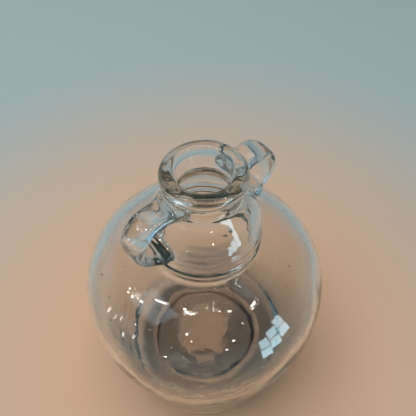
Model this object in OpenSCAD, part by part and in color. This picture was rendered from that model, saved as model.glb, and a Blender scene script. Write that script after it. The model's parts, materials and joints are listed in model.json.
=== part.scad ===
// Two-eared jug of clear pressed and blown glass.
// The axis of the jug is Z, the table is z = 0, and the two ear handles lie along X.

/* [Bowl] */
// Widest outer diameter of the bowl
body_d = 160; // [150:1:200]
// Height of the widest line above the table
belly_h = 103; // [85:1:140]
// Radius of the wall's upright curve at the widest line
belly_r = 90; // [60:1:140]
// Outer diameter that the tapered wall would have at the table without its rounded heel
foot_d = 129; // [116:1:144]
// Rounding radius of the heel
heel_r = 22; // [10:0.5:24]
// Height from the widest line to the crown that the shoulder curve aims at
shoulder_h = 62; // [45:1:90]
// Fullness of the shoulder curve, 2 is an ellipse
shoulder_n = 2.8; // [2:0.1:3.4]
// Glass thickness of the wall
wall_t = 5; // [3:0.5:7]
// Glass thickness of the floor
floor_t = 9; // [6:0.5:14]
// Rounding radius of the inner floor corner
floor_r = 20; // [10:1:24]
// Diameter of the hollow under the base
kick_d = 80; // [60:1:90]
// Depth of the hollow under the base
kick_h = 2.5; // [1:0.5:4]
// Height of the base piece above the table
base_h = 34; // [30:1:44]

/* [Neck] */
// Outer diameter at the root of the neck
root_d = 67; // [54:1:76]
// Height of the collar bead at the root
collar_h = 5; // [3:0.5:8]
// How far the collar bead stands out
collar_out = 0.9; // [0.6:0.1:2]
// Height of the bell between collar and throat
bell_h = 36; // [28:1:48]
// Fullness of the bell, higher values keep it wide for longer
bell_n = 2.1; // [1.4:0.1:3]
// Outer diameter of the throat under the lip
throat_d = 41.6; // [37:0.2:48]
// Height of the throat under the lip
throat_h = 9; // [6:0.5:16]
// Diameter of the mouth bore
mouth_d = 30.4; // [24:0.2:34]

/* [Lip] */
// Outer diameter of the lip
lip_d = 46.4; // [43:0.2:54]
// Height of the lip
lip_h = 8; // [7:0.5:12]
// Rounding radius of the lip's inner edge
lip_inner_r = 2.4; // [1.5:0.1:3]

/* [Handles] */
// Width of the strap
handle_w = 16; // [12:0.5:24]
// Thickness of the strap
handle_t = 7.2; // [6.2:0.2:9]
// Rounding radius of the strap's long edges
handle_edge_r = 3; // [1:0.1:3]
// Radius of the bend, to the middle of the strap
bend_r = 13.2; // [10:0.1:15]
// Distance from the jug's axis to the middle of the bend
bend_x = 34; // [33:0.5:40]

/* [Hidden] */
$fn = 96;

body_r = body_d / 2;
foot_r = foot_d / 2;
root_r = root_d / 2;
hole_r = root_r - wall_t;
throat_r = throat_d / 2;
mouth_r = mouth_d / 2;
lip_r = lip_d / 2;

// Heights of the seams, each worked out from the piece below
root_z = belly_h + shoulder_h * crown(root_r / body_r);
collar_z = root_z + collar_h;
throat_z = collar_z + bell_h;
lip_z = throat_z + throat_h;
top_z = lip_z + lip_h;
handle_top_z = lip_z - handle_t / 2;

// Lower wall: an arc that is upright at the widest line, then a straight taper to foot_r at the table
belly_x = body_r - belly_r;
taper = asin(belly_r / norm([belly_h, foot_r - belly_x])) - atan2(foot_r - belly_x, belly_h);

STEPS = 28;
glass_tint = [0.86, 0.90, 0.89, 0.45];

// Height of the shoulder curve, as a share of its full height, at a share of its width
function crown(s) = pow(1 - pow(s, shoulder_n), 1 / shoulder_n);

// Radius of the straight taper at height z, moved inwards by t
function taper_r(z, t = 0) = foot_r + z * tan(taper) - t / cos(taper);

// Points of a circular arc from angle a to angle b
function arc(x, z, r, a, b, n = STEPS) =
    [for (i = [0:n]) let (w = a + (b - a) * i / n) [x + r * cos(w), z + r * sin(w)]];

// Points up the lower wall from height z to the widest line, moved inwards by t
function wall_line(z, t = 0) =
    concat([[taper_r(z, t), z]], arc(belly_x, belly_h, belly_r - t, -taper, 0));

// Points over the shoulder from the widest line in to radius r, moved inwards by t
function shoulder_line(r, t = 0) =
    let (w = body_r - t, h = shoulder_h - t, end = acos(pow(r / w, shoulder_n / 2)))
    [for (i = [0:STEPS]) let (a = end * i / STEPS)
        [w * pow(cos(a), 2 / shoulder_n), belly_h + h * pow(sin(a), 2 / shoulder_n)]];

// Points up a bell that narrows from radius a to radius b over height h, upright at both ends
function bell_line(a, b, h) =
    [for (i = [0:STEPS]) let (s = i / STEPS)
        [b + (a - b) * (1 + cos(180 * pow(s, bell_n))) / 2, collar_z + h * s]];

function reversed(p) = [for (i = [len(p) - 1:-1:0]) p[i]];

module revolve(points) {
    rotate_extrude() polygon(points);
}

// Centre of the heel's rounding, which touches the table and the taper
heel_x = taper_r(heel_r) - heel_r / cos(taper);

// Centre of the inner corner, which touches the floor and the inside of the taper
corner_z = floor_t + kick_h + floor_r;
corner_x = taper_r(corner_z, wall_t) - floor_r / cos(taper);

// Least height of the base's seam above the inner corner, and least width of the ring it stands on
seam_room = 1;
rim_w = 3;
base_z = max(base_h, corner_z + seam_room);
kick_r = min(kick_d / 2, heel_x - rim_w);

// Thick floor with its rounded heel, the hollow under it and the start of the wall
module base() {
    color(glass_tint) revolve(concat(
        [[0, kick_h], [kick_r - kick_h, kick_h], [kick_r, 0]],
        arc(heel_x, heel_r, heel_r, -90, -taper),
        [[taper_r(base_z), base_z], [taper_r(base_z, wall_t), base_z]],
        reversed(arc(corner_x, corner_z, floor_r, -90, -taper)),
        [[0, corner_z - floor_r]]));
}

// Wall and shoulder, open at the top where the neck stands
module bowl() {
    color(glass_tint) revolve(concat(
        wall_line(base_z),
        shoulder_line(root_r),
        [[hole_r, root_z]],
        reversed(shoulder_line(hole_r, wall_t)),
        reversed(wall_line(base_z, wall_t))));
}

// Radius and centre of the bead's bulge, through its two edges and its crest
bead_r = (collar_h * collar_h / 4 + collar_out * collar_out) / (2 * collar_out);
bead_x = root_r + collar_out - bead_r;
bead_a = asin(collar_h / 2 / bead_r);

// Bead at the root of the neck
module collar() {
    color(glass_tint) revolve(concat(
        arc(bead_x, root_z + collar_h / 2, bead_r, -bead_a, bead_a),
        [[hole_r, collar_z], [hole_r, root_z]]));
}

// Bell that narrows from the collar to the throat
module neck() {
    color(glass_tint) revolve(concat(
        bell_line(root_r, throat_r, bell_h),
        [[mouth_r, throat_z]],
        reversed(bell_line(hole_r, mouth_r, bell_h - wall_t / 2))));
}

// Radius of the lip's outer crown, which leaves room for the inner rounding
lip_edge_r = min(lip_h / 2, lip_r - mouth_r - lip_inner_r);

// Outline of throat and lip, from the throat's foot to the mouth's inner edge
function lip_line() = concat(
    [[throat_r, throat_z], [throat_r, lip_z], [lip_r - lip_inner_r, lip_z]],
    arc(lip_r - lip_inner_r, lip_z + lip_inner_r, lip_inner_r, -90, 0),
    arc(lip_r - lip_edge_r, top_z - lip_edge_r, lip_edge_r, 0, 90),
    arc(mouth_r + lip_inner_r, top_z - lip_inner_r, lip_inner_r, 90, 180));

// Throat and rolled lip around the mouth bore
module lip() {
    color(glass_tint) revolve(concat(lip_line(), [[mouth_r, throat_z]]));
}

// Strap's section: thickness along X, width along Y, rounded at its four edges
module strap_section() {
    square([handle_t - 2 * handle_edge_r, handle_w], center = true);
    square([handle_t, handle_w - 2 * handle_edge_r], center = true);
    for (x = [-1, 1], y = [-1, 1])
        translate([x * (handle_t / 2 - handle_edge_r), y * (handle_w / 2 - handle_edge_r)])
            circle(r = handle_edge_r);
}

// One straight arm of the strap, from the axis out to the bend, at height z
module strap_arm(z) {
    translate([0, 0, z]) rotate([0, 90, 0]) linear_extrude(bend_x) strap_section();
}

// Neck, collar and lip filled solid, which the straps are cut against
module neck_core() {
    revolve(concat(
        [[0, root_z]],
        arc(bead_x, root_z + collar_h / 2, bead_r, -bead_a, bead_a),
        bell_line(root_r, throat_r, bell_h),
        lip_line(),
        [[0, top_z]]));
}

// Ear handle on the +X side: two arms and a half bend, its roots cut to the neck
module handle() {
    color(glass_tint) difference() {
        union() {
            strap_arm(handle_top_z);
            strap_arm(handle_top_z - 2 * bend_r);
            translate([bend_x, 0, handle_top_z - bend_r])
                rotate([90, 90, 0])
                    rotate_extrude(angle = 180) translate([bend_r, 0]) strap_section();
        }
        neck_core();
    }
}

module handle_right() {
    handle();
}

module handle_left() {
    rotate([0, 0, 180]) handle();
}

base();
bowl();
collar();
neck();
lip();
handle_left();
handle_right();
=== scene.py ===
"""Clear glass jug with two ear handles: one fused glass surface, a pale floor, soft light and the camera.

Lengths are millimetres in the functions that work out shapes, and metres in the meshes and the lamps.
"""
import json
import math

import bmesh
import bpy
import numpy as np
from mathutils import Matrix, Vector
from mathutils.kdtree import KDTree


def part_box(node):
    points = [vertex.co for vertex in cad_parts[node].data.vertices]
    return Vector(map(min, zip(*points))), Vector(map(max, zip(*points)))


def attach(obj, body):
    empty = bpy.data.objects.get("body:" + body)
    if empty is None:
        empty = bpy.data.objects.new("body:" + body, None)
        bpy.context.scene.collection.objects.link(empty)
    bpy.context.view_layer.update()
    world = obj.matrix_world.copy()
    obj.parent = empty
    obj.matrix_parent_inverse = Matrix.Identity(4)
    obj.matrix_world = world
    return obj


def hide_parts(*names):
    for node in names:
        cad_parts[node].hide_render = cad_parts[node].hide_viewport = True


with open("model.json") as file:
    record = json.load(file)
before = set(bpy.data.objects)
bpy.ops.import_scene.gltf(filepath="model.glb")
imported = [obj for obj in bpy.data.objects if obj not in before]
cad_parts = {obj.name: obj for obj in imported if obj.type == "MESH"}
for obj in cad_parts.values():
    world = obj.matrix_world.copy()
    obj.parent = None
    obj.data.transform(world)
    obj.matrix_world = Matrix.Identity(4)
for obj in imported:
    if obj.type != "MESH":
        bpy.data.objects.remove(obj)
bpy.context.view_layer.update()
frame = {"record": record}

MM = 0.001
TINY = 1e-6


def node_box(name):
    """Lowest and highest corner of a CAD node, in millimetres."""
    low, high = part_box(name)
    return np.array(low) / MM, np.array(high) / MM


# Sizes read from the frame
BOWL_R = node_box("bowl")[1][0]
ROOT_Z = node_box("bowl")[1][2]
COLLAR_Z = node_box("collar")[1][2]
COLLAR_CREST = node_box("collar")[1][0]
ROOT_R = node_box("neck")[1][0]
THROAT_Z = node_box("neck")[1][2]
LIP_R = node_box("lip")[1][0]
TOP_Z = node_box("lip")[1][2]
HANDLE_LOW, HANDLE_HIGH = node_box("handle_right")
MOUTH_R = next(mount["dims"]["r_mm"] for mount in frame["record"]["mounts"] if mount["name"] == "mouth")

# Wall: its widest line, the curve and the taper below that, and the shoulder above
BELLY_Z = 103.0
BELLY_ARC = 90.0
FOOT_R = 64.5
HEEL_R = 22.0
SHOULDER_H = 62.0
SHOULDER_N = 2.8
WALL = 5.0
ARC_X = BOWL_R - BELLY_ARC
TAPER = math.asin(BELLY_ARC / math.hypot(BELLY_Z, FOOT_R - ARC_X)) - math.atan2(FOOT_R - ARC_X, BELLY_Z)

# Floor, and the hollow under it
FLOOR_Z = 11.5
FLOOR_CORNER = 20.0
KICK_R = 40.0
KICK_H = 2.5
KICK_RAMP = 12.0

# Second bead, above the collar, and the bell, throat and lip
RING_H = 5.0
RING_OUT = 0.55
HOLE_R = ROOT_R - WALL
BELL_N = 2.1
THROAT_R = 20.8
LIP_H = 8.0
LIP_EDGE = 2.4

# How far corners melt: outside and at the lip, and inside, where blown glass has no edges
MELT = 0.25
MELT_REACH = 4
INNER_MELT = 3.5
INNER_MELT_TOP = THROAT_Z - 8
INNER_MELT_FADE = 10.0
FINE = 0.1

# Unevenness of the wall, outside and inside, which fades towards the table and the lip
SWAY_LOBES = (1, 2, 3, 5, 8, 12)
SWAY_FALL = 0.6
SWAY_RISE = 1.6
SWAY_LENGTH = 30.0
OUTER_SWAY = 0.06
OUTER_INSET = 0.2
INNER_SWAY = 0.4
CALM_FOOT = 20.0
CALM_TOP = TOP_Z - 12
CALM_FADE = 30.0

# Tooling rings inside the neck
TOOL_DEPTH = 0.09
TOOL_PITCH = 4.2
TOOL_LOW = COLLAR_Z + 8
TOOL_LOW_FADE = 24.0
TOOL_HIGH = TOP_Z - 9
TOOL_HIGH_FADE = 6.0

# Strap handles, and how far their roots sink into the neck and flare there
STRAP_W = HANDLE_HIGH[1] - HANDLE_LOW[1]
STRAP_T = 7.2
STRAP_BEND = (HANDLE_HIGH[2] - HANDLE_LOW[2] - STRAP_T) / 2
STRAP_BEND_X = HANDLE_HIGH[0] - STRAP_BEND - STRAP_T / 2
STRAP_TOP_Z = HANDLE_HIGH[2] - STRAP_T / 2
STRAP_N = 2.7
UPPER_SINK = 2.2
LOWER_SINK = 5.0
ROOT_FLARE_W = 5.0
ROOT_FLARE_T = 3.0
ROOT_FLARE_REACH = 4.5

# Fillet where the straps fuse to the neck, round edges past this angle and below the lip's crown
JOINT_ANGLE = math.radians(28)
JOINT_REACH = 2.4
JOINT_PASSES = 14
JOINT_EASE = 0.5
JOINT_MIN_X = LIP_R * 0.6
JOINT_MAX_Z = TOP_Z - LIP_H / 2

# Air bubbles: one in the neck, at a turn in degrees and a height, and small ones, or seeds, in the bowl
NECK_BUBBLE = (-97.5, 196.3)
NECK_BUBBLE_SIZE = (1.1, 1.1, 2.2)
SEED_COUNT = 50
SEED_SIZES = (0.3, 0.7)
SEED_HEIGHTS = (40, 160)
SEED_STRETCH = 1.4

# Starting numbers of the random draws
OUTER_DRAW = 7
INNER_DRAW = 3
BUBBLE_DRAW = 11
SPARKLE_DRAW = 5

# How finely the lines and surfaces are cut
ARC_POINTS = 40
WALL_POINTS = 80
SHOULDER_POINTS = 120
BELL_POINTS = 80
KICK_POINTS = 60
BEND_POINTS = 80
SECTORS = 192
RING_STEP = (0.25, 2.6)
RING_DETAIL = 0.24
NECK_STEP = 1.0
STRAP_RINGS = 96
STRAP_SIDES = 44
FLOOR_SIDES = 96


def arc(centre, radius, start, end, count=ARC_POINTS):
    """Points on a circle around a centre (r, z), from one angle to another, in degrees."""
    w = np.radians(np.linspace(start, end, count))
    return np.column_stack([centre[0] + radius * np.cos(w), centre[1] + radius * np.sin(w)])


def wall_r(z, inset=0.0):
    """Lower wall's radius: an arc, upright at the widest line, then a straight taper towards the foot."""
    radius = BELLY_ARC - inset
    seam = BELLY_Z - radius * math.sin(TAPER)
    bent = ARC_X + np.sqrt(radius ** 2 - (np.maximum(z, seam) - BELLY_Z) ** 2)
    return bent - np.maximum(seam - z, 0) * math.tan(TAPER)


def wall_line(low, high, inset=0.0):
    """Points up the lower wall between two heights."""
    z = np.linspace(low, high, WALL_POINTS)
    return np.column_stack([wall_r(z, inset), z])


def shoulder_line(r_end, inset=0.0):
    """Shoulder: a superellipse quarter from the widest line in to a radius."""
    width, height = BOWL_R - inset, SHOULDER_H - inset
    a = np.linspace(0, math.acos((r_end / width) ** (SHOULDER_N / 2)), SHOULDER_POINTS)
    power = 2 / SHOULDER_N
    return np.column_stack([width * np.cos(a) ** power, BELLY_Z + height * np.sin(a) ** power])


def bell_line(r_low, r_high, height):
    """Bell: half a cosine wave from one radius to the other, kept wide for longer by a power."""
    s = np.linspace(0, 1, BELL_POINTS)
    r = r_high + (r_low - r_high) * (1 + np.cos(np.pi * s ** BELL_N)) / 2
    return np.column_stack([r, COLLAR_Z + height * s])


def corner_line(height, radius, inset=0.0):
    """Rounding that touches a level line below it and the straight taper beside it."""
    z = height + radius
    r = float(wall_r(z, inset)) - radius / math.cos(TAPER)
    return arc((r, z), radius, -90, -math.degrees(TAPER))


def kick_line():
    """Hollow under the base: level in the middle, then half a cosine wave down to the standing ring."""
    r = np.linspace(0, KICK_R, KICK_POINTS)
    s = np.clip((r - KICK_R + KICK_RAMP) / KICK_RAMP, 0, 1)
    return np.column_stack([r, KICK_H * (1 + np.cos(np.pi * s)) / 2])


def bead_line(low, high, out):
    """Bead on the root of the neck: the arc through both its edges and its crest."""
    half = (high - low) / 2
    radius = (half ** 2 + out ** 2) / (2 * out)
    lean = math.degrees(math.asin(half / radius))
    return arc((ROOT_R + out - radius, low + half), radius, -lean, lean)


def profile():
    """The glass's whole section: up the outside from the base, over the lip and down the inside."""
    lip_z = TOP_Z - LIP_H
    crown = min(LIP_H / 2, LIP_R - MOUTH_R - LIP_EDGE)
    heel_line = corner_line(0, HEEL_R)
    floor_line = corner_line(FLOOR_Z, FLOOR_CORNER, WALL)
    bell = bell_line(ROOT_R, THROAT_R, THROAT_Z - COLLAR_Z)
    outside = [
        kick_line(),
        heel_line,
        wall_line(heel_line[-1][1], BELLY_Z),
        shoulder_line(ROOT_R),
        bead_line(ROOT_Z, COLLAR_Z, COLLAR_CREST - ROOT_R),
        bead_line(COLLAR_Z, COLLAR_Z + RING_H, RING_OUT),
        bell[bell[:, 1] > COLLAR_Z + RING_H],
        [(THROAT_R, lip_z), (LIP_R - LIP_EDGE, lip_z)],
        arc((LIP_R - LIP_EDGE, lip_z + LIP_EDGE), LIP_EDGE, -90, 0),
        arc((LIP_R - crown, TOP_Z - crown), crown, 0, 90),
        arc((MOUTH_R + LIP_EDGE, TOP_Z - LIP_EDGE), LIP_EDGE, 90, 180),
    ]
    inside = [
        [(0, FLOOR_Z)],
        floor_line,
        wall_line(floor_line[-1][1], BELLY_Z, WALL),
        shoulder_line(HOLE_R, WALL),
        [(HOLE_R, COLLAR_Z)],
        bell_line(HOLE_R, MOUTH_R, THROAT_Z - COLLAR_Z - WALL / 2),
    ]
    return np.vstack([np.vstack(outside), np.vstack(inside)[::-1]])


def along(points):
    """Length along a line of points, from its start to each of them."""
    return np.concatenate([[0], np.cumsum(np.hypot(*np.diff(points, axis=0).T))])


def placed(marks, lengths, points):
    """Points on a line of (r, z) or (x, z) points where its running measure reaches each mark."""
    return np.column_stack([np.interp(marks, lengths, points[:, i]) for i in (0, 1)])


def beside(line):
    """Unit vectors square to a line of points, on its left."""
    ahead = np.gradient(line, axis=0)
    ahead /= np.linalg.norm(ahead, axis=1)[:, None]
    return np.column_stack([-ahead[:, 1], ahead[:, 0]])


def is_inner(line):
    """True for the points of a section after its highest one, which lie on the inside of the glass."""
    return np.arange(len(line)) > np.argmax(line[:, 1])


def melted(line, size):
    """Every point of an even line becomes a bell-weighted mean of its neighbours, so corners round off."""
    half = int(MELT_REACH * size / FINE)
    weight = np.exp(-0.5 * (np.arange(-half, half + 1) * FINE / size) ** 2)
    weight /= weight.sum()
    flip = np.array([-1, 1])
    padded = np.vstack([line[half:0:-1] * flip, line, line[-2:-half - 2:-1] * flip])
    return np.column_stack([np.convolve(padded[:, i], weight, "valid") for i in (0, 1)])


def section():
    """Fire-polished section in even steps: fine edges outside and at the lip, long roundings inside."""
    points = profile()
    s = along(points)
    keep = np.concatenate([[True], np.diff(s) > TINY])
    line = placed(np.arange(0, s[-1], FINE), s[keep], points[keep])
    soft = np.clip((INNER_MELT_TOP - line[:, 1]) / INNER_MELT_FADE, 0, 1) * is_inner(line)
    return melted(line, MELT) * (1 - soft[:, None]) + melted(line, INNER_MELT) * soft[:, None]


def ring_places(line):
    """Chooses rings along the section, closer where it bends and all the way up the neck."""
    s = along(line)
    turn = np.unwrap(np.arctan2(*np.gradient(line, axis=0).T[::-1]))
    bend = np.abs(np.gradient(turn, s)) + TINY
    step = np.clip(np.sqrt(RING_DETAIL / bend), *RING_STEP)
    step = np.where(line[:, 1] > ROOT_Z, np.minimum(step, NECK_STEP), step)
    count = np.concatenate([[0], np.cumsum(np.diff(s) / step[1:])])
    return placed(np.linspace(0, count[-1], int(count[-1])), count, line)


def sway(theta, z, draw, size):
    """Unevenness of hand-gathered glass: a few long waves round and up the wall, in millimetres."""
    rng = np.random.default_rng(draw)
    out = np.zeros(np.broadcast(theta, z).shape)
    for lobes in SWAY_LOBES:
        rise = rng.uniform(-SWAY_RISE, SWAY_RISE)
        start = rng.uniform(0, 2 * np.pi)
        out += np.cos(lobes * theta + rise * z / SWAY_LENGTH + start) / lobes ** SWAY_FALL
    return out * size


def tooling(z):
    """Rings left by the neck's tool: a cosine wave up the bell that fades in and out, in millimetres."""
    fade_in = np.clip((z - TOOL_LOW) / TOOL_LOW_FADE, 0, 1)
    fade_out = np.clip((TOOL_HIGH - z) / TOOL_HIGH_FADE, 0, 1)
    return fade_in * fade_out * TOOL_DEPTH * np.cos(2 * np.pi * z / TOOL_PITCH)


def add_object(name, data):
    """Puts a mesh, lamp or camera into the scene as an object at the origin."""
    made = bpy.data.objects.new(name, data)
    bpy.context.scene.collection.objects.link(made)
    return made


def grid_faces(rows, columns):
    """Quads of a grid whose rows close round on themselves."""
    i, j = np.meshgrid(np.arange(rows - 1), np.arange(columns), indexing="ij")
    k = (j + 1) % columns
    corners = [i * columns + j, i * columns + k, (i + 1) * columns + k, (i + 1) * columns + j]
    return np.stack(corners, -1).reshape(-1, 4)


def closed_tube(name, rings, start, end):
    """A mesh object from rings of points (rows, columns, 3) in millimetres, with a point at either end."""
    rows, columns, _ = rings.shape
    points = np.vstack([rings.reshape(-1, 3), [start, end]])
    j = np.arange(columns)
    k = (j + 1) % columns
    last = (rows - 1) * columns
    first_fan = np.column_stack([np.full(columns, rows * columns), k, j])
    last_fan = np.column_stack([np.full(columns, rows * columns + 1), last + j, last + k])
    faces = grid_faces(rows, columns).tolist() + first_fan.tolist() + last_fan.tolist()
    mesh = bpy.data.meshes.new(name)
    mesh.from_pydata((points * MM).tolist(), [], faces)
    return add_object(name, mesh)


def vessel():
    """Bowl, neck and lip: the section turned round the axis, its inside a little uneven."""
    line = ring_places(section())[1:-1]
    theta = np.linspace(0, 2 * np.pi, SECTORS, endpoint=False)
    r, z = line[:, :1], line[:, 1:]
    inner = is_inner(line)[:, None]
    calm = np.clip(z / CALM_FOOT, 0, 1) * np.clip((CALM_TOP - z) / CALM_FADE, 0, 1)
    inside = sway(theta, z, INNER_DRAW, INNER_SWAY)
    outside = sway(theta, z, OUTER_DRAW, OUTER_SWAY) - OUTER_INSET
    r = r + calm * np.where(inner, inside, outside) + tooling(z) * inner
    rings = np.stack([r * np.cos(theta), r * np.sin(theta), z + 0 * theta], -1)
    return closed_tube("jug_glass", rings, (0, 0, KICK_H), (0, 0, FLOOR_Z))


def strap_path():
    """Strap's middle line in the (x, z) plane, an arm, a half circle and an arm back, and its lengths."""
    bend = arc((STRAP_BEND_X, STRAP_TOP_Z - STRAP_BEND), STRAP_BEND, 90, -90, BEND_POINTS)
    upper_root = (THROAT_R - UPPER_SINK, STRAP_TOP_Z)
    lower_root = (ROOT_R - LOWER_SINK, STRAP_TOP_Z - 2 * STRAP_BEND)
    line = np.vstack([upper_root, bend, lower_root])
    s = along(line)
    even = np.linspace(0, s[-1], STRAP_RINGS)
    return placed(even, s, line), even


def strap(side):
    """Ear handle: a rounded strap section carried along its path, swelling where it meets the neck."""
    line, s = strap_path()
    across = beside(line)
    near = np.minimum(s - UPPER_SINK, s[-1] - LOWER_SINK - s)
    swell = np.exp(-(np.clip(near, 0, None) / ROOT_FLARE_REACH) ** 2)[:, None]
    a = np.linspace(0, 2 * np.pi, STRAP_SIDES, endpoint=False)
    power = 2 / STRAP_N
    u = np.sign(np.cos(a)) * np.abs(np.cos(a)) ** power * (STRAP_W + ROOT_FLARE_W * swell) / 2
    v = np.sign(np.sin(a)) * np.abs(np.sin(a)) ** power * (STRAP_T + ROOT_FLARE_T * swell) / 2
    x = (line[:, :1] + v * across[:, :1]) * side
    z = line[:, 1:] + v * across[:, 1:]
    rings = np.stack([x, u * side, z], -1)
    start, end = [(r * side, 0, height) for r, height in (line[0], line[-1])]
    return closed_tube("strap", rings, start, end)


def fused(body, added):
    """One surface round both, without the walls between them."""
    joint = body.modifiers.new("fuse", "BOOLEAN")
    joint.operation = "UNION"
    joint.solver = "EXACT"
    joint.object = added
    graph = bpy.context.evaluated_depsgraph_get()
    mesh = bpy.data.meshes.new_from_object(body.evaluated_get(graph))
    body.modifiers.clear()
    body.data = mesh
    bpy.data.objects.remove(added)
    return body


def soften_joints(body):
    """Rounds the sharp edges that the fusing leaves: points near them move to their neighbours' mean."""
    shape = bmesh.new()
    shape.from_mesh(body.data)
    sharp = set()
    for edge in shape.edges:
        if len(edge.link_faces) == 2 and edge.calc_face_angle() > JOINT_ANGLE:
            sharp.update(edge.verts)
    sharp = [v for v in sharp if abs(v.co.x) > JOINT_MIN_X * MM and v.co.z < JOINT_MAX_Z * MM]
    places = KDTree(len(sharp))
    for i, vert in enumerate(sharp):
        places.insert(vert.co, i)
    places.balance()
    near = [v for v in shape.verts if places.find(v.co)[2] < JOINT_REACH * MM]
    for _ in range(JOINT_PASSES):
        bmesh.ops.smooth_vert(shape, verts=near, factor=JOINT_EASE,
                              use_axis_x=True, use_axis_y=True, use_axis_z=True)
    shape.to_mesh(body.data)
    shape.free()


def add_bubbles(body):
    """Air bubbles in the middle of the wall, stretched upwards: one in the neck, small ones in the bowl."""
    line = section()
    # Outer line of the glass, from the heel up to the lip
    outside = line[np.argmax(line[:, 0]) // 2:np.argmax(line[:, 1])]
    middle = outside + beside(outside) * WALL / 2
    rng = np.random.default_rng(BUBBLE_DRAW)
    bubbles = [(*NECK_BUBBLE, NECK_BUBBLE_SIZE)]
    for _ in range(SEED_COUNT):
        size = rng.uniform(*SEED_SIZES)
        turn = rng.uniform(0, 360)
        bubbles.append((turn, rng.uniform(*SEED_HEIGHTS), (size, size, size * SEED_STRETCH)))
    shape = bmesh.new()
    shape.from_mesh(body.data)
    for turn, height, size in bubbles:
        r, z = middle[np.argmin(np.abs(outside[:, 1] - height))]
        way = math.radians(turn)
        place = Matrix.Translation(Vector((r * math.cos(way), r * math.sin(way), z)) * MM)
        stretch = Matrix.Diagonal((*(np.array(size) * MM), 1))
        made = bmesh.ops.create_icosphere(shape, subdivisions=2, radius=1, matrix=place @ stretch)
        faces = {face for vert in made["verts"] for face in vert.link_faces}
        bmesh.ops.reverse_faces(shape, faces=list(faces))
    shape.to_mesh(body.data)
    shape.free()


def linear(hex_colour):
    """sRGB hex to linear red, green, blue and full alpha."""
    s = np.array([int(hex_colour[i:i + 2], 16) for i in (1, 3, 5)]) / 255
    return (*np.where(s <= 0.04045, s / 12.92, ((s + 0.055) / 1.055) ** 2.4), 1.0)


def add_node(tree, kind, links=(), **settings):
    """Adds a node, sets its attributes or its inputs by name, and links (output, input name) pairs."""
    made = tree.nodes.new(kind)
    for key, value in settings.items():
        if hasattr(made, key):
            setattr(made, key, value)
        else:
            made.inputs[key.replace("_", " ")].default_value = value
    for source, target in links:
        tree.links.new(source, made.inputs[target])
    return made


def new_material(name):
    """An empty node material and its tree."""
    material = bpy.data.materials.new(name)
    material.use_nodes = True
    material.node_tree.nodes.clear()
    return material, material.node_tree


# Skin of the glass, with long ripples from blowing and fine ones from polishing, and the tint in its depth
RIPPLE = 12 * MM
RIPPLE_DEPTH = 0.35 * MM
RIPPLE_STRENGTH = 0.4
FINE_RIPPLE = 4 * MM
FINE_RIPPLE_DEPTH = 0.05 * MM
FINE_RIPPLE_STRENGTH = 0.5
GLASS_IOR = 1.52
GLASS_TINT = "#c9d6cf"
GLASS_DENSITY = 12.0


def soda_lime_glass():
    """Soda-lime glass, blown and fire-polished: clear, its sharp reflections wavering on a rippled skin."""
    material, tree = new_material("fire_polished_soda_lime_glass")
    place = add_node(tree, "ShaderNodeTexCoord")
    ripple = add_node(tree, "ShaderNodeTexNoise", [(place.outputs["Object"], "Vector")],
                      Scale=1 / RIPPLE, Detail=2.0, Roughness=0.5)
    fine = add_node(tree, "ShaderNodeTexNoise", [(place.outputs["Object"], "Vector")],
                    Scale=1 / FINE_RIPPLE, Detail=1.0, Roughness=0.5)
    fine_bump = add_node(tree, "ShaderNodeBump", [(fine.outputs["Fac"], "Height")],
                         Strength=FINE_RIPPLE_STRENGTH, Distance=FINE_RIPPLE_DEPTH)
    bump = add_node(tree, "ShaderNodeBump",
                    [(ripple.outputs["Fac"], "Height"), (fine_bump.outputs["Normal"], "Normal")],
                    Strength=RIPPLE_STRENGTH, Distance=RIPPLE_DEPTH)
    shader = add_node(tree, "ShaderNodeBsdfPrincipled", [(bump.outputs["Normal"], "Normal")],
                      Base_Color=(1, 1, 1, 1), Transmission_Weight=1.0, Roughness=0.0, IOR=GLASS_IOR)
    depth = add_node(tree, "ShaderNodeVolumeAbsorption", Color=linear(GLASS_TINT), Density=GLASS_DENSITY)
    add_node(tree, "ShaderNodeOutputMaterial",
             [(shader.outputs["BSDF"], "Surface"), (depth.outputs["Volume"], "Volume")])
    return material


# Floor: its warm pool ends between these two distances from the axis
FLOOR_RADIUS = 2500
POOL = (80, 480)
POOL_COLOUR = "#d8b89e"
FLOOR_COLOUR = "#a8bfc8"


def pale_floor():
    """Plain pale floor, matt: warm round the jug, and cool like the room farther off."""
    material, tree = new_material("pale_matt_floor")
    place = add_node(tree, "ShaderNodeTexCoord")
    away = add_node(tree, "ShaderNodeVectorMath", [(place.outputs["Object"], 0)], operation="LENGTH")
    share = add_node(tree, "ShaderNodeMapRange", [(away.outputs["Value"], "Value")],
                     interpolation_type="SMOOTHSTEP", From_Min=POOL[0] * MM, From_Max=POOL[1] * MM)
    colour = add_node(tree, "ShaderNodeMixRGB", [(share.outputs["Result"], "Fac")],
                      Color1=linear(POOL_COLOUR), Color2=linear(FLOOR_COLOUR))
    shader = add_node(tree, "ShaderNodeBsdfPrincipled", [(colour.outputs["Color"], "Base Color")],
                      Roughness=1.0, Specular_IOR_Level=0.0)
    add_node(tree, "ShaderNodeOutputMaterial", [(shader.outputs["BSDF"], "Surface")])
    return material


def floor_disc():
    """Round floor under the jug."""
    theta = np.linspace(0, 2 * np.pi, FLOOR_SIDES, endpoint=False)
    rim = np.column_stack([np.cos(theta), np.sin(theta), 0 * theta]) * FLOOR_RADIUS
    mesh = bpy.data.meshes.new("floor")
    mesh.from_pydata((rim * MM).tolist(), [], [list(range(len(rim)))])
    mesh.materials.append(pale_floor())
    add_object("floor", mesh)


# Room's colours by height, as the sine of the rise above the horizon
ROOM_COLOURS = ((0.0, "#a0b5bd"), (0.2, "#7f97a1"), (0.42, "#2c4048"), (0.9, "#8a8782"))
ROOM_STRENGTH = 0.8


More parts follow.
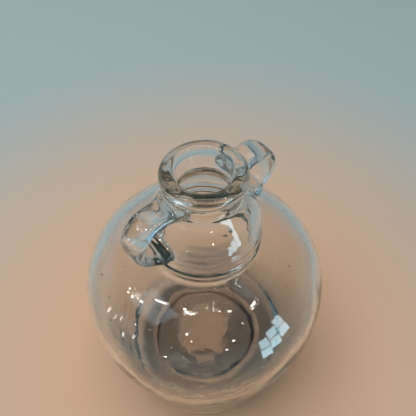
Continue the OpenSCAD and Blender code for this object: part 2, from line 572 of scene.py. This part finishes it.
def room():
    """Room light: a pale band behind the floor, a dark one above for the glass's edges, grey overhead."""
    world = bpy.data.worlds.new("room")
    bpy.context.scene.world = world
    world.use_nodes = True
    tree = world.node_tree
    tree.nodes.clear()
    place = add_node(tree, "ShaderNodeTexCoord")
    height = add_node(tree, "ShaderNodeSeparateXYZ", [(place.outputs["Generated"], "Vector")])
    ramp = add_node(tree, "ShaderNodeValToRGB", [(height.outputs["Z"], "Fac")])
    stops = ramp.color_ramp.elements
    first, *others = ROOM_COLOURS
    stops[0].position, stops[0].color = first[0], linear(first[1])
    for position, colour in others:
        stops.new(position).color = linear(colour)
    stops.remove(stops[-1])
    light = add_node(tree, "ShaderNodeBackground", [(ramp.outputs["Color"], "Color")],
                     Strength=ROOM_STRENGTH)
    add_node(tree, "ShaderNodeOutputWorld", [(light.outputs["Background"], "Surface")])


AIM = Vector((0, 0, 0.15))


def lamp_at(name, shape, size, radiance, colour, bearing, rise, distance):
    """Area lamp facing the jug: bearing from +Y to +X and rise in degrees, size and distance in metres."""
    lamp = bpy.data.lights.new(name, "AREA")
    lamp.shape = shape
    lamp.size, lamp.size_y = size
    area = size[0] * size[1] * (1 if shape == "RECTANGLE" else math.pi / 4)
    lamp.energy = radiance * math.pi * area
    lamp.color = linear(colour)[:3]
    made = add_object(name, lamp)
    b, e = math.radians(bearing), math.radians(rise)
    out = Vector((math.sin(b) * math.cos(e), math.cos(b) * math.cos(e), math.sin(e)))
    made.location = AIM + out * distance
    made.rotation_euler = (-out).to_track_quat("-Z", "Y").to_euler()
    made.visible_camera = False
    return made


def mirrored_only(lamp):
    """Leaves a lamp to be seen only in the reflections on the glass."""
    lamp.visible_diffuse = False
    lamp.visible_transmission = False


# Window on the near side: bearing and rise of its middle, and its panes, in degrees seen from the jug
WINDOW_MIDDLE = (172, 2.6)
WINDOW_COLUMNS = 3
WINDOW_ROWS = 2
WINDOW_PITCH = 8.2
WINDOW_LEAN = -6.2
WINDOW_AWAY = 0.35
PANE = (7.6, 13.5)
PANE_BAR = 1.2
PANE_RADIANCE = 11.0
PANE_COLOUR = "#bfe4f2"


def window():
    """Two rows of cool panes low on the near side, each column set a little lower than the last."""
    size = np.radians(PANE) * WINDOW_AWAY
    for column in range(WINDOW_COLUMNS):
        aside = column - (WINDOW_COLUMNS - 1) / 2
        bearing = WINDOW_MIDDLE[0] + aside * WINDOW_PITCH
        for row in range(WINDOW_ROWS):
            up = row - (WINDOW_ROWS - 1) / 2
            rise = WINDOW_MIDDLE[1] + aside * WINDOW_LEAN + up * (PANE[1] + PANE_BAR)
            mirrored_only(lamp_at(f"pane_{column}_{row}", "RECTANGLE", size, PANE_RADIANCE, PANE_COLOUR,
                                  bearing, rise, WINDOW_AWAY))


# Small lamps, each at a bearing and a rise: strips on the left, single specks, and clusters of sparkles
STRIPS = ((-59.5, -2.5), (-66, 1), (-70, 9), (-78, -7), (-86, 3))
STRIP_SIZE = (0.016, 0.085)
STRIP_RADIANCE = 10.0
STRIP_COLOUR = "#f3f2ee"
STRIP_AWAY = 0.6
SPECKS = ((-63, 46), (-80, 21), (-90, 28), (-110, 2), (-121, 44),
          (-127, 35), (-154, 20), (-162, 31), (-178, 47), (-177, 66))
SPECK_SIZE = (0.06, 0.06)
SPECK_RADIANCE = 30.0
SPARKLES = ((-53, 40), (-68, 63), (-109, 69), (-164, 75), (156, 54))
SPARKLE_COUNT = 5
SPARKLE_SIZES = (0.02, 0.07)
SPARKLE_SPREAD = 2.4
SPARKLE_RADIANCE = 40.0
GLINT_COLOUR = "#fffaf2"
GLINT_AWAY = 1.6


def glints():
    """Strips, specks and clusters of sparkles, which give the glass its small bright reflections."""
    for i, way in enumerate(STRIPS):
        mirrored_only(lamp_at(f"strip_{i}", "RECTANGLE", STRIP_SIZE, STRIP_RADIANCE, STRIP_COLOUR,
                              *way, STRIP_AWAY))
    for i, way in enumerate(SPECKS):
        mirrored_only(lamp_at(f"speck_{i}", "DISK", SPECK_SIZE, SPECK_RADIANCE, GLINT_COLOUR,
                              *way, GLINT_AWAY))
    rng = np.random.default_rng(SPARKLE_DRAW)
    for i, (bearing, rise) in enumerate(SPARKLES):
        for j in range(SPARKLE_COUNT):
            size = rng.uniform(*SPARKLE_SIZES)
            aside, up = rng.normal(0, SPARKLE_SPREAD, 2)
            aside /= math.cos(math.radians(rise))
            sparkle = lamp_at(f"sparkle_{i}_{j}", "DISK", (size, size), SPARKLE_RADIANCE, GLINT_COLOUR,
                              bearing + aside, rise + up, GLINT_AWAY)
            sparkle.visible_diffuse = False


def lights():
    """Soft light: a large lamp overhead, a warm one whose image glows in the base, and two cool panels."""
    overhead = lamp_at("overhead", "RECTANGLE", size=(2.4, 2.4), radiance=3.4, colour="#fff3e6",
                       bearing=-40, rise=82, distance=2.6)
    overhead.visible_glossy = False
    overhead.visible_transmission = False
    glow = lamp_at("glow", "ELLIPSE", size=(0.3, 1.2), radiance=2.8, colour="#e8b48e",
                   bearing=41, rise=52, distance=1.3)
    glow.visible_glossy = False
    glow.visible_diffuse = False
    lamp_at("cool_back", "RECTANGLE", size=(0.9, 0.4), radiance=0.5, colour="#5b9fc4",
            bearing=-20, rise=12, distance=1.1)
    lamp_at("sky_panel", "RECTANGLE", size=(0.75, 0.75), radiance=1.6, colour="#cddbe2",
            bearing=-74, rise=50, distance=1.5)
    window()
    glints()


# Camera's place and aim in millimetres, its roll in degrees, and its lens
CAMERA_AT = (-96.6, -108.0, 371.9)
CAMERA_AIM = (1.59, -1.42, 189.16)
CAMERA_ROLL = 0.26
CAMERA_NEAR = 10 * MM
FOCAL_PIXELS = 420
FRAME_PIXELS = 416
SENSOR = 36.0


def camera():
    """Camera at the photograph's viewing angle."""
    lens = bpy.data.cameras.new("camera")
    lens.sensor_width = SENSOR
    lens.lens = SENSOR * FOCAL_PIXELS / FRAME_PIXELS
    lens.clip_start = CAMERA_NEAR
    made = add_object("camera", lens)
    at = Vector(CAMERA_AT) * MM
    turn = (Vector(CAMERA_AIM) * MM - at).to_track_quat("-Z", "Y").to_matrix().to_4x4()
    made.matrix_world = Matrix.Translation(at) @ turn @ Matrix.Rotation(math.radians(CAMERA_ROLL), 4, "Z")
    bpy.context.scene.camera = made


camera()
room()
floor_disc()
lights()

jug = vessel()
# The left ear lies on the -X side, the right one on the +X side
for hand in (-1, 1):
    jug = fused(jug, strap(hand))
soften_joints(jug)
add_bubbles(jug)
jug.data.shade_smooth()
jug.data.materials.clear()
jug.data.materials.append(soda_lime_glass())
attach(jug, "root")
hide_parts("base", "bowl", "collar", "neck", "lip", "handle_left", "handle_right")

# Light passes many walls of glass before it reaches the eye
BOUNCES = 96
bpy.context.scene.view_settings.view_transform = "Standard"
bpy.context.scene.cycles.max_bounces = BOUNCES
bpy.context.scene.cycles.transmission_bounces = BOUNCES
bpy.context.scene.cycles.glossy_bounces = BOUNCES
